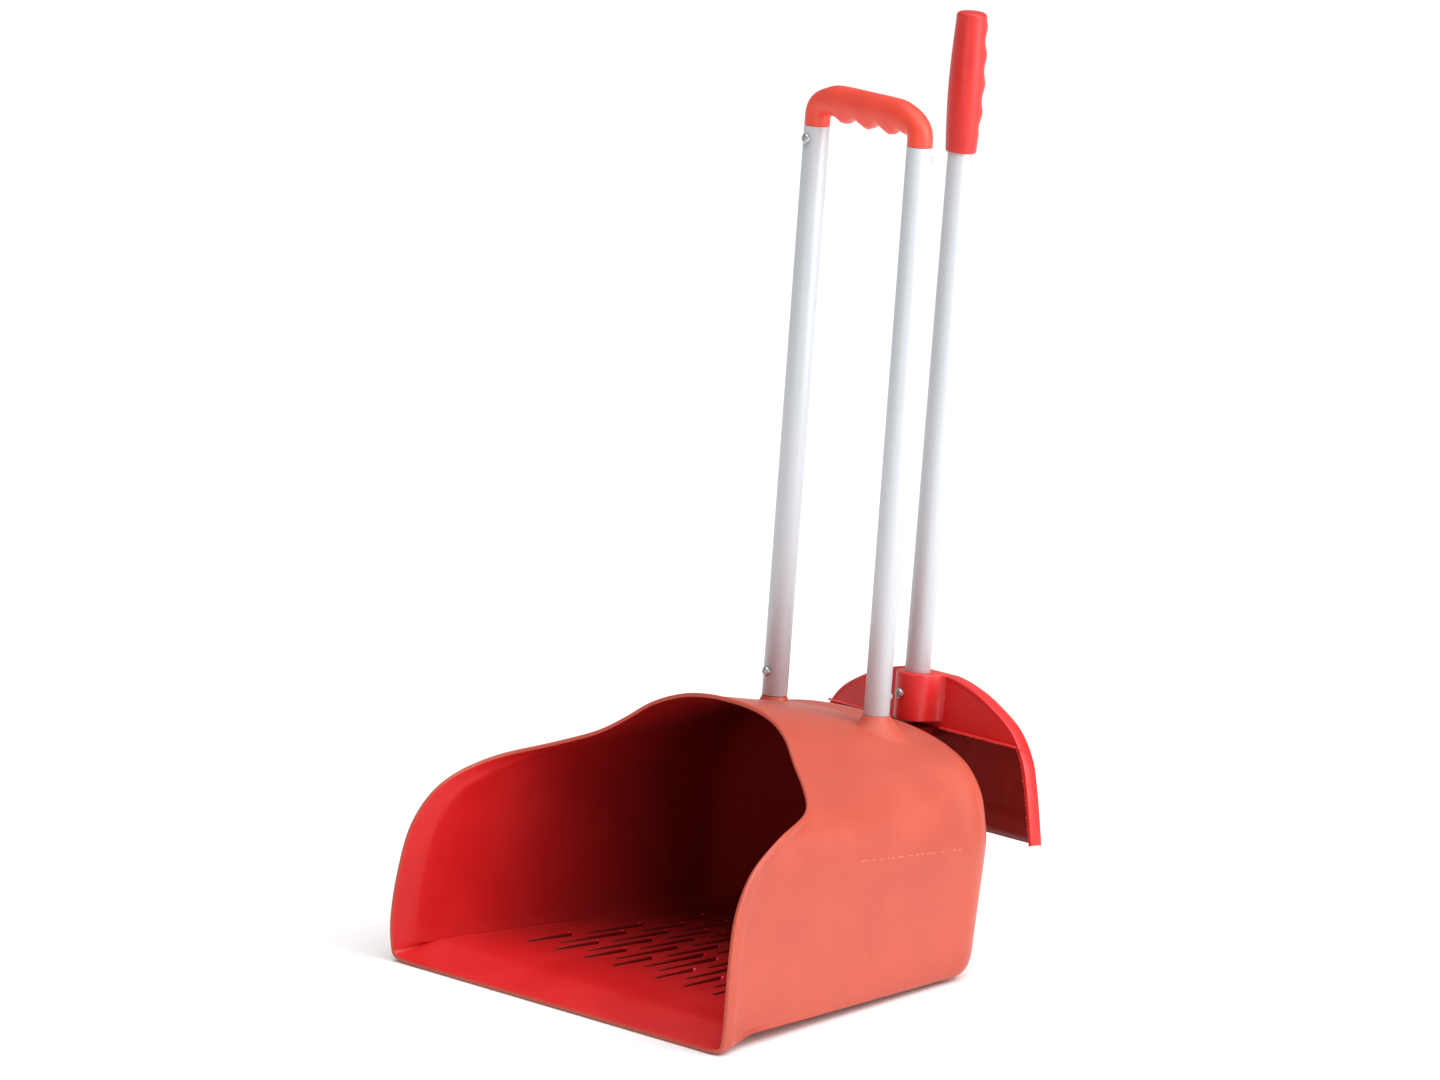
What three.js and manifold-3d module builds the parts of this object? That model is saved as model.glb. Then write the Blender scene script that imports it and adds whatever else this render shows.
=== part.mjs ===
// Long-handled hooded scoop with its own scraper hung on the back.
// Millimetres, +Z up, the mouth of the scoop faces -Y.
import * as THREE from 'three';
import { ParametricGeometry } from 'three/addons/geometries/ParametricGeometry.js';
import { mergeVertices } from 'three/addons/utils/BufferGeometryUtils.js';
import Module from 'manifold-3d';

const wasm = await Module();
wasm.setup();

// ---- driving sizes ----
const mouthWidth = 389;         // outside of the lip, across the mouth
const crownHeight = 215;        // highest point of the mouth rim
const crownSetback = 178;       // how far the rim sweeps back at its crown
const bodyWidth = 310;          // outside of the body at its rear
const bodyHeight = 185;         // hood height at the rear
const bodyDepth = 270;          // mouth to the start of the round back
const backDepth = 54;           // depth of the round back
const backLean = 0.16;          // the back leans by this much per unit height
const wall = 3;
const lipDepth = 12;            // band around the mouth
const lipFlare = 7;             // how far the band stands out of the body
const rampDepth = 40;           // inside ramp behind the lip, on the floor
const cheekRampDepth = 20;      // and on the two cheeks
const heelDepth = 24;           // flat land under the rear that rests on the ground
const heelWidth = 150;
const heelRise = 1.3;           // how far the land stands out of the underside

const tubeRadius = 10;
const tubeWall = 1.2;
const tubeSpacing = 117;        // centre to centre
const tubeExposed = 448;        // collar to grip
const tubeFootY = bodyDepth + 10;
const tubeStand = 3;            // tube end above the hood, at the tube's front
const tubeLean = 5.6;           // degrees, backwards
const collarRise = 11;          // collar seen above the hood
const spigotLength = 34;
const fit = 0.3;                // clearance between separate pieces

const gripRise = 19.5;          // tube end to the middle of the bar
const gripBarHeight = 32;
const gripBarDepth = 22;
const fingerPitch = 26;         // bumps under the loop grip
const fingerDepth = 5.4;

const screwHeadRadius = 3.9;
const screwHeadHeight = 2.4;
const screwShankRadius = 1.7;
const screwLength = 12;
const lowerScrewUp = 19;        // from the collar to the lower screw
const upperScrewDown = 10;      // from the grip to the upper screw

const scraperFootY = bodyDepth + backDepth + 53.5;
const scraperFootZ = bodyHeight + 19;
const scraperLean = 6.1;
const scraperExposed = 410;
const headHeight = 115;
const headWidth = 262;
const headDepth = 12;
const headSetback = tubeRadius + 1.4;  // tube axis to the front of the panel
const panelHeight = 42;
const bossRadius = tubeRadius + 6.5;
const bossHeight = 37;
const socketDepth = 32;
const headScrewDown = 16;
const pullGripLength = 110.5;
const pullGripRadius = tubeRadius + 2;
const pullGripSwell = 1.9;      // the middle stands out this much more
const pullGripTube = 90;        // tube inside the pull grip
const hollowPitch = 22.5;       // finger hollows of the pull grip
const hollowDepth = 1.5;

const hookWidth = 24;
const hookThickness = 3.6;
const hookTongue = 26;          // how far the tongue stands above the arm
const hookArm = 8;              // height of the arm

const ribWidth = 1.6;
const ribHeight = 1.8;
const ribPitch = 16.6;          // between neighbouring columns of ribs
const ribMiddle = -11;          // the columns mirror each other about this line
const ribColumns = 8;           // on each side of it
// along the floor, as shares of the body's depth, for the even and the odd columns
const ribStarts = [0.404, 0.341];
const ribLengths = [[0.226, 0.152, 0.148], [0.148, 0.193, 0.163]];
const ribGap = 0.052;           // end of a rib to the start of the next
const ribFan = 0.001;           // a rib turns by this much per unit across

// ---- materials ----
const red = () => new THREE.MeshStandardMaterial({ color: 0xd8322a, roughness: 0.42, metalness: 0 });
const silver = () => new THREE.MeshStandardMaterial({ color: 0xc9ccd0, roughness: 0.32, metalness: 0.95 });
const steel = () => new THREE.MeshStandardMaterial({ color: 0xb4b6b8, roughness: 0.25, metalness: 1 });

// ---- helpers ----
function signedVolume(position, index) {
  const corner = (i) => new THREE.Vector3().fromBufferAttribute(position, index[i]);
  let volume = 0;
  for (let i = 0; i < index.length; i += 3) {
    volume += corner(i).dot(corner(i + 1).cross(corner(i + 2))) / 6;
  }
  return volume;
}

function toSolid(geometry) {
  geometry.deleteAttribute('normal');
  geometry.deleteAttribute('uv');
  const merged = mergeVertices(geometry, 1e-3);
  const kept = [];
  const index = merged.index.array;
  for (let i = 0; i < index.length; i += 3) {
    const [a, b, c] = [index[i], index[i + 1], index[i + 2]];
    if (a !== b && b !== c && c !== a) kept.push(a, b, c);
  }
  if (signedVolume(merged.attributes.position, kept) < 0) kept.reverse();
  const mesh = new wasm.Mesh({
    numProp: 3,
    vertProperties: new Float32Array(merged.attributes.position.array),
    triVerts: new Uint32Array(kept),
  });
  return new wasm.Manifold(mesh);
}

function toGeometry(solid) {
  const mesh = solid.getMesh();
  const geometry = new THREE.BufferGeometry();
  geometry.setAttribute('position', new THREE.BufferAttribute(mesh.vertProperties, 3));
  geometry.setIndex(new THREE.BufferAttribute(mesh.triVerts, 1));
  geometry.computeVertexNormals();
  return geometry;
}

// A solid of revolution about +Z from [radius, height] pairs that start and end on the axis.
function turned(profile, segments = 32) {
  const points = profile.map(([r, z]) => new THREE.Vector2(r, z));
  return toSolid(new THREE.LatheGeometry(points, segments).rotateX(Math.PI / 2));
}

function block(x0, x1, y0, y1, z0, z1) {
  const box = new THREE.BoxGeometry(x1 - x0, y1 - y0, z1 - z0);
  return toSolid(box.translate((x0 + x1) / 2, (y0 + y1) / 2, (z0 + z1) / 2));
}

// Extrudes a shape drawn as [x, z] along +Y from y0 to y1.
function plateSolid(shape, y0, y1, segments = 12) {
  const options = { depth: y1 - y0, bevelEnabled: false, curveSegments: segments };
  const plate = new THREE.ExtrudeGeometry(shape, options);
  return toSolid(plate.rotateX(Math.PI / 2).translate(0, y1, 0));
}

function placed(solid, matrix) {
  return solid.transform(matrix.toArray());
}

// A frame with its +Z leaning backwards by an angle, at a foot point.
function leaningFrame(x, y, z, degrees) {
  const frame = new THREE.Matrix4().makeRotationX(-THREE.MathUtils.degToRad(degrees));
  return frame.setPosition(x, y, z);
}

const group = new THREE.Group();
const restY = bodyDepth - heelDepth / 2;  // the origin sits in the middle of the heel
group.position.set(0, -restY, 0);

function addNode(name, solid, material, frame = new THREE.Matrix4()) {
  const mesh = new THREE.Mesh(toGeometry(solid), material);
  mesh.name = name;
  mesh.applyMatrix4(frame);
  group.add(mesh);
}

// ---- scoop shell ----
// Half outlines from the middle of the floor to the crown. Each mouth point is
// [x, share of the crown's setback, height], and is joined to the rear point [x, height]
// with the same place in the list. Above the rounded corner, heights are shares.
const halfMouth = mouthWidth / 2;
const halfBody = bodyWidth / 2;
const mouthOutline = [
  [0, 0, 0], [halfMouth - 36, 0, 0], [halfMouth - 13, 0, 0.7], [halfMouth - 3.5, 0.002, 3.7],
  [halfMouth, 0.005, 13],
  ...[
    [halfMouth + 1.5, 0.011, 0.151], [halfMouth - 0.5, 0.042, 0.321], [halfMouth - 5, 0.107, 0.505],
    [halfMouth - 12, 0.236, 0.634], [halfMouth * 0.87, 0.449, 0.712], [halfMouth * 0.755, 0.713, 0.752],
    [halfMouth * 0.615, 0.837, 0.802], [halfMouth * 0.505, 0.893, 0.863],
    [halfMouth * 0.405, 0.944, 0.927], [halfMouth * 0.27, 0.986, 0.974],
    [halfMouth * 0.13, 1, 0.995], [0, 1, 1],
  ].map(([x, setback, height]) => [x, setback, height * crownHeight]),
];
const rearOutline = [
  [0, heelRise], [halfBody - 36, heelRise], [halfBody - 14, heelRise + 0.4],
  [halfBody - 5.5, heelRise + 3.3], [halfBody - 2, heelRise + 11],
  ...[
    [halfBody - 1.5, 0.162], [halfBody - 0.8, 0.335], [halfBody, 0.486], [halfBody - 0.5, 0.584],
    [halfBody * 0.972, 0.663], [halfBody * 0.915, 0.779], [halfBody * 0.8, 0.879],
    [halfBody * 0.655, 0.934], [halfBody * 0.515, 0.966], [halfBody * 0.35, 0.987],
    [halfBody * 0.17, 0.997], [0, 1],
  ].map(([x, height]) => [x, height * bodyHeight]),
];
const poleZ = bodyHeight * 0.48;
const spline = (points) => new THREE.CatmullRomCurve3(points, false, 'centripetal');
const mirroredEnds = (list) => {
  // one extra point past each end keeps the outline level where it crosses the middle
  const [a, b] = [list[1], list[list.length - 2]];
  return [new THREE.Vector3(-a.x, a.y, a.z), ...list, new THREE.Vector3(-b.x, b.y, b.z)];
};
const mouthCurve = spline(mirroredEnds(
  mouthOutline.map(([x, setback, z]) => new THREE.Vector3(x, setback * crownSetback, z)),
));
const rearCurve = spline(mirroredEnds(rearOutline.map(([x, z]) => new THREE.Vector3(x, 0, z))));
const spans = mouthOutline.length + 1;
const curveAt = (curve, s) => curve.getPoint((1 + s * (spans - 2)) / spans);

// Outward normal of an outline in the XZ plane.
function outwardAt(curve, s) {
  const step = 1e-3;
  const ahead = curveAt(curve, Math.min(s + step, 1 + step));
  const behind = curveAt(curve, s - step);
  const normal = new THREE.Vector3(ahead.z - behind.z, 0, behind.x - ahead.x);
  return normal.normalize();
}

// The lip band is full round the mouth and fades out up the hood.
function lipShare(s) {
  return 1 - 0.85 * THREE.MathUtils.smoothstep(s, 0.5, 0.68);
}

function lipPoint(s, back, inward) {
  const point = curveAt(mouthCurve, s);
  point.addScaledVector(outwardAt(mouthCurve, s), -inward);
  point.y += back;
  return point;
}

// The ramp is deep along the floor and short on the cheeks. The step behind the band follows
// it from outside, so that the wall stays even.
const cheekShare = (s) => THREE.MathUtils.smoothstep(s, 0.14, 0.26);
const rampReach = (s) => THREE.MathUtils.lerp(rampDepth, cheekRampDepth, cheekShare(s));
const lipOuter = (s) => lipPoint(s, lipDepth * lipShare(s), 1 * lipShare(s));
const bodyStart = (s) => lipPoint(s, (rampReach(s) - 2) * lipShare(s), (lipFlare + 1.5) * lipShare(s));
const lipStep = (s) => lipOuter(s).lerp(bodyStart(s), 0.4);
const rimInner = (s) => lipPoint(s, 0.2, wall + 0.4);
const innerStart = (s) => lipPoint(s, (rampReach(s) - 8) * lipShare(s) + 8,
  wall + (lipFlare + 1.5) * lipShare(s));

function rearPoint(s, inward) {
  const point = curveAt(rearCurve, s);
  point.addScaledVector(outwardAt(rearCurve, s), -inward);
  point.y = bodyDepth + backLean * point.z;
  return point;
}

function between(from, to, share) {
  return (s) => from(s).lerp(to(s), share);
}

function backPoint(s, share, inward) {
  const turn = share * Math.PI / 2;
  const across = Math.pow(Math.max(Math.cos(turn), 0), 2 / 3);
  const along = Math.pow(Math.sin(turn), 2 / 3);
  const rear = rearPoint(s, inward);
  const x = rear.x * across;
  const z = poleZ + (rear.z - poleZ) * across;
  return new THREE.Vector3(x, bodyDepth + backLean * z + (backDepth - inward) * along, z);
}

const bodySteps = [0.12, 0.3, 0.5, 0.7, 0.88];
const backSteps = [0, 0.04, 0.12, 0.24, 0.38, 0.52, 0.66, 0.8, 0.92, 1];
const rows = [
  ...[...backSteps].reverse().map((t) => (s) => backPoint(s, t, 0)),
  ...[...bodySteps].reverse().map((t) => between(bodyStart, (s) => rearPoint(s, 0), t)),
  bodyStart, lipStep, lipOuter,
  (s) => lipPoint(s, 0.8, 0), (s) => lipPoint(s, 0, wall * 0.5), rimInner, innerStart,
  ...bodySteps.map((t) => between(innerStart, (s) => rearPoint(s, wall), t)),
  ...backSteps.map((t) => (s) => backPoint(s, t, wall)),
];
const halfSlices = 34;

function shellPoint(u, v, target) {
  const row = rows[Math.round(v * (rows.length - 1))];
  const turn = (u % 1) * 2;
  const side = turn <= 1 ? 1 : -1;
  const s = turn <= 1 ? turn : 2 - turn;
  target.copy(row(s));
  target.x = Math.abs(s) < 1e-9 || Math.abs(s - 1) < 1e-9 ? 0 : target.x * side;
}

// Height of the inside floor at a given depth.
function floorHeight(y) {
  const start = innerStart(0);
  const end = rearPoint(0, wall);
  return start.z + (end.z - start.z) * (y - start.y) / (end.y - start.y);
}

function floorRibs() {
  const ribs = [];
  for (let column = 0; column < ribColumns * 2; column += 1) {
    const side = column < ribColumns ? -1 : 1;
    const place = column % ribColumns;
    const startX = ribMiddle + side * ribPitch * (place + 0.5);
    let start = ribStarts[place % 2];
    for (const share of ribLengths[place % 2]) {
      const middle = (start + share / 2) * bodyDepth;
      const x = startX * (1 - ribFan * (middle - ribStarts[1] * bodyDepth));
      if (Math.abs(x) < halfBody - 12) ribs.push(ribSolid(x, middle, share * bodyDepth));
      start += share + ribGap;
    }
  }
  return ribs;
}

function ribSolid(x, y, length) {
  const bar = new THREE.BoxGeometry(ribWidth, length, ribHeight + 1);
  bar.rotateX(Math.atan(floorHeight(1) - floorHeight(0)));
  bar.rotateZ(ribFan * x);
  return toSolid(bar.translate(x, y, floorHeight(y) + (ribHeight - 1) / 2));
}

// Height of the hood's outside over a point between the mouth and the round back.
function hoodHeight(x, y) {
  let [wide, narrow] = [0.6, 1];
  const at = (s) => {
    const [from, to] = [bodyStart(s), rearPoint(s, 0)];
    return from.lerp(to, (y - from.y) / (to.y - from.y));
  };
  for (let i = 0; i < 30; i += 1) {
    const middle = (wide + narrow) / 2;
    if (at(middle).x > x) wide = middle;
    else narrow = middle;
  }
  return at(narrow).z;
}

const tubeFootZ = hoodHeight(tubeSpacing / 2, tubeFootY - tubeRadius) + tubeStand;
const handleFrame = (side) => leaningFrame(side * tubeSpacing / 2, tubeFootY, tubeFootZ, tubeLean);
const tubeInside = tubeRadius - tubeWall;

// Collar with a flared foot and the spigot that the tube slides over.
function collarSolid() {
  const spigot = tubeInside - fit;
  return turned([
    [0, -collarRise - 13], [tubeRadius + 3, -collarRise - 13], [tubeRadius + 3, -collarRise - 3],
    [tubeRadius + 1.2, -collarRise + 2], [tubeRadius + 0.3, -collarRise + 6], [tubeRadius, -fit],
    [spigot, -fit], [spigot, spigotLength - 2], [spigot - 2, spigotLength], [0, spigotLength],
  ]);
}

// Bore for a screw, in the tube's own frame. side is -1 for a head at the front, 1 at the back.
function screwBore(z, side) {
  const radius = screwShankRadius + fit;
  const bore = new THREE.CylinderGeometry(radius, radius, (screwLength + fit) * 2, 16);
  return toSolid(bore.translate(0, side * tubeRadius, 0)).translate([0, 0, z]);
}

const scraperFrame = leaningFrame(0, scraperFootY, scraperFootZ, scraperLean);
const panelBack = headSetback + wall;
const cavityBack = headSetback + headDepth - wall;

// Hook on the back of the hood: an arm under the scraper's panel and a tongue up behind it.
function hookSolid() {
  const tongueMid = (panelBack + cavityBack) / 2;
  const armTop = -panelHeight - fit;
  const tongueFront = tongueMid - hookThickness / 2;
  const tongueBack = tongueMid + hookThickness / 2;
  const leanShift = armTop * Math.sin(THREE.MathUtils.degToRad(scraperLean));
  const hoodBack = backSurfaceY(scraperFootZ + armTop) - scraperFootY - leanShift;
  const half = hookWidth / 2;
  const arm = block(-half, half, hoodBack - wall / 3, tongueBack, armTop - hookArm, armTop);
  const tongue = block(-half, half, tongueFront, tongueBack, armTop - 1, armTop + hookTongue);
  return placed(arm.add(tongue), scraperFrame);
}

// Depth of the outside of the back on the middle line at a given height.
function backSurfaceY(z) {
  const across = (z - poleZ) / (bodyHeight - poleZ);
  return bodyDepth + backLean * z + backDepth * Math.cbrt(1 - across ** 3);
}

function scoopSolid() {
  let shell = toSolid(new ParametricGeometry(shellPoint, halfSlices * 2, rows.length - 1));
  for (const side of [-1, 1]) {
    const collar = collarSolid().subtract(screwBore(lowerScrewUp, side));
    shell = shell.add(placed(collar, handleFrame(side)));
  }
  for (const rib of floorRibs()) shell = shell.add(rib);
  const halfHeel = heelWidth / 2;
  const heel = block(-halfHeel, halfHeel, bodyDepth - heelDepth, bodyDepth, 0, heelRise + wall / 2);
  return shell.add(heel).add(hookSolid());
}

// ---- tubes, grip and screws ----
function tubeSolid(length, inside) {
  const profile = [[inside, 0], [tubeRadius, 0], [tubeRadius, length], [inside, length], [inside, 0]];
  return turned(profile);
}

function handleTube(side) {
  return tubeSolid(tubeExposed, tubeInside)
    .subtract(oneWall(screwBore(lowerScrewUp, side), side))
    .subtract(oneWall(screwBore(tubeExposed - upperScrewDown, side), side));
}

// Keeps only the half of a bore that breaks the wall on the screw's side.
function oneWall(bore, side) {
  const reach = tubeRadius * 3;
  const [front, back] = side < 0 ? [-reach, 0] : [0, reach];
  return bore.intersect(block(-reach, reach, front, back, -1, tubeExposed + spigotLength));
}

// Cross-head screw along +Z, its head's seat just above z = 0.
function screwSolid() {
  const seat = 0.5;
  const slotDepth = 1.1;
  const head = [
    [0, -screwLength], [screwShankRadius, -screwLength + 1.5], [screwShankRadius, seat],
    [screwHeadRadius, seat], [screwHeadRadius, seat + screwHeadHeight * 0.45],
    [screwHeadRadius * 0.8, seat + screwHeadHeight * 0.85],
    [screwHeadRadius * 0.45, seat + screwHeadHeight],
    [0, seat + screwHeadHeight],
  ];
  const top = seat + screwHeadHeight;
  const slot = (w, d) => block(-w, w, -d, d, top - slotDepth, top + 1);
  const cross = slot(screwHeadRadius * 0.62, 0.5).add(slot(0.5, screwHeadRadius * 0.62));
  return turned(head, 16).subtract(cross);
}

// Turns a screw so that its head looks along -Y (side -1) or +Y (side 1).
function screwFrame(base, side, z, radius) {
  const local = new THREE.Matrix4().makeRotationX(-side * Math.PI / 2);
  local.setPosition(0, side * radius, z);
  return base.clone().multiply(local);
}

// Grip bar: a bent bar from tube to tube, swept as rings round a path.
function gripSolid() {
  const half = tubeSpacing / 2;
  const corner = 19;
  const path = new THREE.CatmullRomCurve3([
    [-half, 0], [-half, 5], [-half + 1.5, 11], [-half + 7, gripRise - 3], [-half + corner, gripRise],
    [0, gripRise + 1.5], [half - corner, gripRise], [half - 7, gripRise - 3], [half - 1.5, 11],
    [half, 5], [half, 0],
  ].map(([x, z]) => new THREE.Vector3(x, 0, z)), false, 'centripetal');
  const stacks = 44;
  const slices = 18;
  const ring = (u, v, target) => {
    const share = Math.min(Math.max((v * (stacks + 2) - 1) / stacks, 0), 1);
    const end = v === 0 || v === 1 ? 0 : 1;
    const centre = path.getPoint(share);
    const along = path.getTangent(share);
    const outward = new THREE.Vector3(-along.z, 0, along.x);
    const bar = THREE.MathUtils.smoothstep(half - Math.abs(centre.x), 3, 24);
    const high = THREE.MathUtils.lerp(tubeRadius, gripBarHeight / 2 - fingerDepth / 2, bar);
    const deep = THREE.MathUtils.lerp(tubeRadius, gripBarDepth / 2, bar);
    const turn = u * Math.PI * 2;
    const up = Math.cos(turn);
    let reach = high;
    if (up < 0) reach += fingerDepth * bar * Math.cos(centre.x / fingerPitch * Math.PI * 2) * 0.5;
    target.copy(centre).addScaledVector(outward, up * reach * end);
    target.y += Math.sin(turn) * deep * end;
  };
  const bar = toSolid(new ParametricGeometry(ring, slices, stacks + 2));
  const spigot = tubeInside - fit;
  const plug = turned([
    [0, -spigotLength], [spigot - 2, -spigotLength], [spigot, 2 - spigotLength], [spigot, 1], [0, 1],
  ]);
  let grip = bar;
  for (const side of [-1, 1]) {
    const bored = plug.subtract(screwBore(-upperScrewDown - fit, side));
    grip = grip.add(bored.translate([side * half, 0, 0]));
  }
  return grip;
}

// ---- scraper ----
// Half outline of the head, [x, z] down from its top.
function headShape(inset, drop) {
  const half = headWidth / 2;
  const outline = [
    [half * 0.18, -0.5], [half * 0.40, -7], [half * 0.55, -15], [half * 0.75, -30.5],
    [half * 0.87, -51], [half * 0.92, -70], [half, -headHeight],
  ];
  const inner = outline.map(([x, z]) => {
    const down = inset * (x < half * 0.8 ? 1 : 0.3);  // the flanks are steep, so they move in, not down
    return new THREE.Vector2(x - inset * 0.9, z - down);
  });
  inner[inner.length - 1].y = -headHeight - drop;
  const shape = new THREE.Shape();
  shape.moveTo(-inner[0].x, inner[0].y);
  shape.lineTo(inner[0].x, inner[0].y);
  shape.splineThru(inner.slice(1));
  shape.lineTo(-inner[inner.length - 1].x, inner[inner.length - 1].y);
  shape.splineThru(inner.slice(0, -1).reverse().map((p) => new THREE.Vector2(-p.x, p.y)));
  return shape;
}

function headSolid() {
  const front = headSetback;
  const back = headSetback + headDepth;
  const half = headWidth / 2;
  let head = plateSolid(headShape(0, 0), front, back, 6);
  const cavity = plateSolid(headShape(wall, 8), panelBack, cavityBack, 6);
  const window = plateSolid(headShape(wall, 8), front - 1, cavityBack, 6)
    .intersect(block(-half, half, front - 2, back, -headHeight - 20, -panelHeight));
  head = head.subtract(cavity).subtract(window);
  const boss = new THREE.Shape();
  boss.moveTo(-bossRadius - 2, 0.5 + headSetback);
  boss.lineTo(-bossRadius, 0);
  boss.absarc(0, 0, bossRadius, Math.PI, 2 * Math.PI, false);
  boss.lineTo(bossRadius + 2, 0.5 + headSetback);
  const options = { depth: bossHeight, bevelEnabled: false, curveSegments: 16 };
  head = head.add(toSolid(new THREE.ExtrudeGeometry(boss, options).translate(0, 0, -bossHeight)));
  const socketRadius = tubeRadius + fit;
  const socket = turned([[0, -socketDepth], [socketRadius, -socketDepth], [socketRadius, 5], [0, 5]]);
  const bore = screwBore(-headScrewDown, -1).translate([0, tubeRadius - bossRadius, 0]);
  return head.subtract(socket).subtract(bore);
}

function scraperTube() {
  const length = socketDepth - fit + scraperExposed + pullGripTube;
  const bore = oneWall(screwBore(socketDepth - fit - headScrewDown, -1), -1);
  return tubeSolid(length, tubeInside).subtract(bore);
}

// Pull grip: a sleeve with a domed top and four finger hollows at its back.
function pullGripSolid() {
  const rings = 36;
  const slices = 18;
  const domeHeight = 5;
  const hollowStart = 20;
  const bore = tubeRadius + fit;
  const surface = (u, v, target) => {
    const share = Math.min(Math.max((v * (rings + 2) - 1) / rings, 0), 1);
    const end = v === 0 || v === 1 ? 0 : 1;
    const height = share * pullGripLength;
    const turn = u * Math.PI * 2;
    const swell = Math.sin(Math.PI * THREE.MathUtils.clamp(height / (pullGripLength - 8), 0, 1));
    const intoDome = Math.max(height - pullGripLength + domeHeight, 0) / domeHeight;
    const dome = Math.cbrt(Math.max(1 - intoDome ** 3, 0));
    const back = Math.max(Math.sin(turn), 0) ** 2;
    const grooved = THREE.MathUtils.smoothstep(height, hollowStart - 8, hollowStart + 2)
      * (1 - THREE.MathUtils.smoothstep(height, pullGripLength - 10, pullGripLength - 2));
    const wave = Math.cos((height - hollowStart) / hollowPitch * Math.PI * 2);
    const hollow = -hollowDepth * wave * back * grooved;
    const radius = (pullGripRadius + pullGripSwell * swell + hollow) * dome * end;
    target.set(Math.cos(turn) * radius, Math.sin(turn) * radius, height);
  };
  const sleeve = toSolid(new ParametricGeometry(surface, slices, rings + 2));
  const hole = turned([[0, -1], [bore, -1], [bore, pullGripTube + fit], [0, pullGripTube + fit]]);
  return sleeve.subtract(hole);
}

// ---- assembly ----
addNode('scoop_shell', scoopSolid(), red());
const sides = { left: -1, right: 1 };
for (const [name, side] of Object.entries(sides)) {
  const frame = handleFrame(side);
  const upper = tubeExposed - upperScrewDown;
  addNode(`${name}_tube`, handleTube(side), silver(), frame);
  addNode(`${name}_lower_screw`, screwSolid(), steel(), screwFrame(frame, side, lowerScrewUp, tubeRadius));
  addNode(`${name}_upper_screw`, screwSolid(), steel(), screwFrame(frame, side, upper, tubeRadius));
}
const gripFrame = leaningFrame(0, tubeFootY, tubeFootZ, tubeLean)
  .multiply(new THREE.Matrix4().makeTranslation(0, 0, tubeExposed + fit));
addNode('d_grip', gripSolid(), red(), gripFrame);

const alongScraper = (z) => scraperFrame.clone().multiply(new THREE.Matrix4().makeTranslation(0, 0, z));
addNode('scraper_head', headSolid(), red(), scraperFrame);
addNode('scraper_tube', scraperTube(), silver(), alongScraper(fit - socketDepth));
addNode('scraper_grip', pullGripSolid(), red(), alongScraper(scraperExposed));
addNode('scraper_screw', screwSolid(), steel(), screwFrame(scraperFrame, -1, -headScrewDown, bossRadius));

export default group;
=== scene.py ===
import bmesh
import bpy
import random
from math import cos, pi, radians, sin
from mathutils import Matrix, Vector


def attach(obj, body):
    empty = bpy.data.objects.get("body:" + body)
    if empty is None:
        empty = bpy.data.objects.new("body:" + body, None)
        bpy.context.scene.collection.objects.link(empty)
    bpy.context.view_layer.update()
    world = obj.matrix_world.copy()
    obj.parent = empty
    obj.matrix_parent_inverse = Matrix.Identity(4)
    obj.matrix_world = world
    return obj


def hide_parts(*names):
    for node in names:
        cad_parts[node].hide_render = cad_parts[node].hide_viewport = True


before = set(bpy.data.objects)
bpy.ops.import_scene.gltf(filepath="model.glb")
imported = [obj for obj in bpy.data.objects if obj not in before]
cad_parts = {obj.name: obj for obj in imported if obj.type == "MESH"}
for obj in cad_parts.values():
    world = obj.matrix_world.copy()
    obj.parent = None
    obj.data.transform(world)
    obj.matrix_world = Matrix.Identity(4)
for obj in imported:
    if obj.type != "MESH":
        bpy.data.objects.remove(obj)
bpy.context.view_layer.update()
print("frame loaded:", len(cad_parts), "nodes")

mm = 0.001
originBehindLip = 258  # the frame's origin sits this far behind the lip, in mm


def place(x, y, z):
    return Vector((x, y - originBehindLip, z)) * mm


shot = {
    "azimuth": 48.22, "elevation": 12.90, "lens": 310, "distance": 9.488,
    "target": (0, -0.138, 0.320), "slideRight": 0.0378, "slideUp": 0.0281,
}
turn, tilt = radians(shot["azimuth"]), radians(shot["elevation"])
rightward = Vector((cos(turn), sin(turn), 0))
forward = Vector((-sin(turn) * cos(tilt), cos(turn) * cos(tilt), -sin(tilt)))
upward = rightward.cross(forward)
aim = Vector(shot["target"]) + rightward * shot["slideRight"] + upward * shot["slideUp"]
cameraData = bpy.data.cameras.new("camera")
cameraData.lens = shot["lens"]
cameraData.sensor_width = 36
camera = bpy.data.objects.new("camera", cameraData)
camera.matrix_world = Matrix.Translation(aim - forward * shot["distance"]) @ Matrix(
    (rightward, upward, -forward)).transposed().to_4x4()
bpy.context.scene.collection.objects.link(camera)
bpy.context.scene.camera = camera

scene = bpy.context.scene
scene.view_settings.view_transform = "Standard"
scene.view_settings.look = "None"


def addLight(name, size, power, spot, target=(0, 0, 0.15), tint=(1, 1, 1)):
    data = bpy.data.lights.new(name, "AREA")
    data.shape = "RECTANGLE"
    data.size, data.size_y = size
    data.energy = power
    data.color = tint
    light = bpy.data.objects.new(name, data)
    light.location = spot
    light.rotation_mode = "QUATERNION"
    light.rotation_quaternion = (Vector(target) - Vector(spot)).to_track_quat("-Z", "Y")
    scene.collection.objects.link(light)


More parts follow.
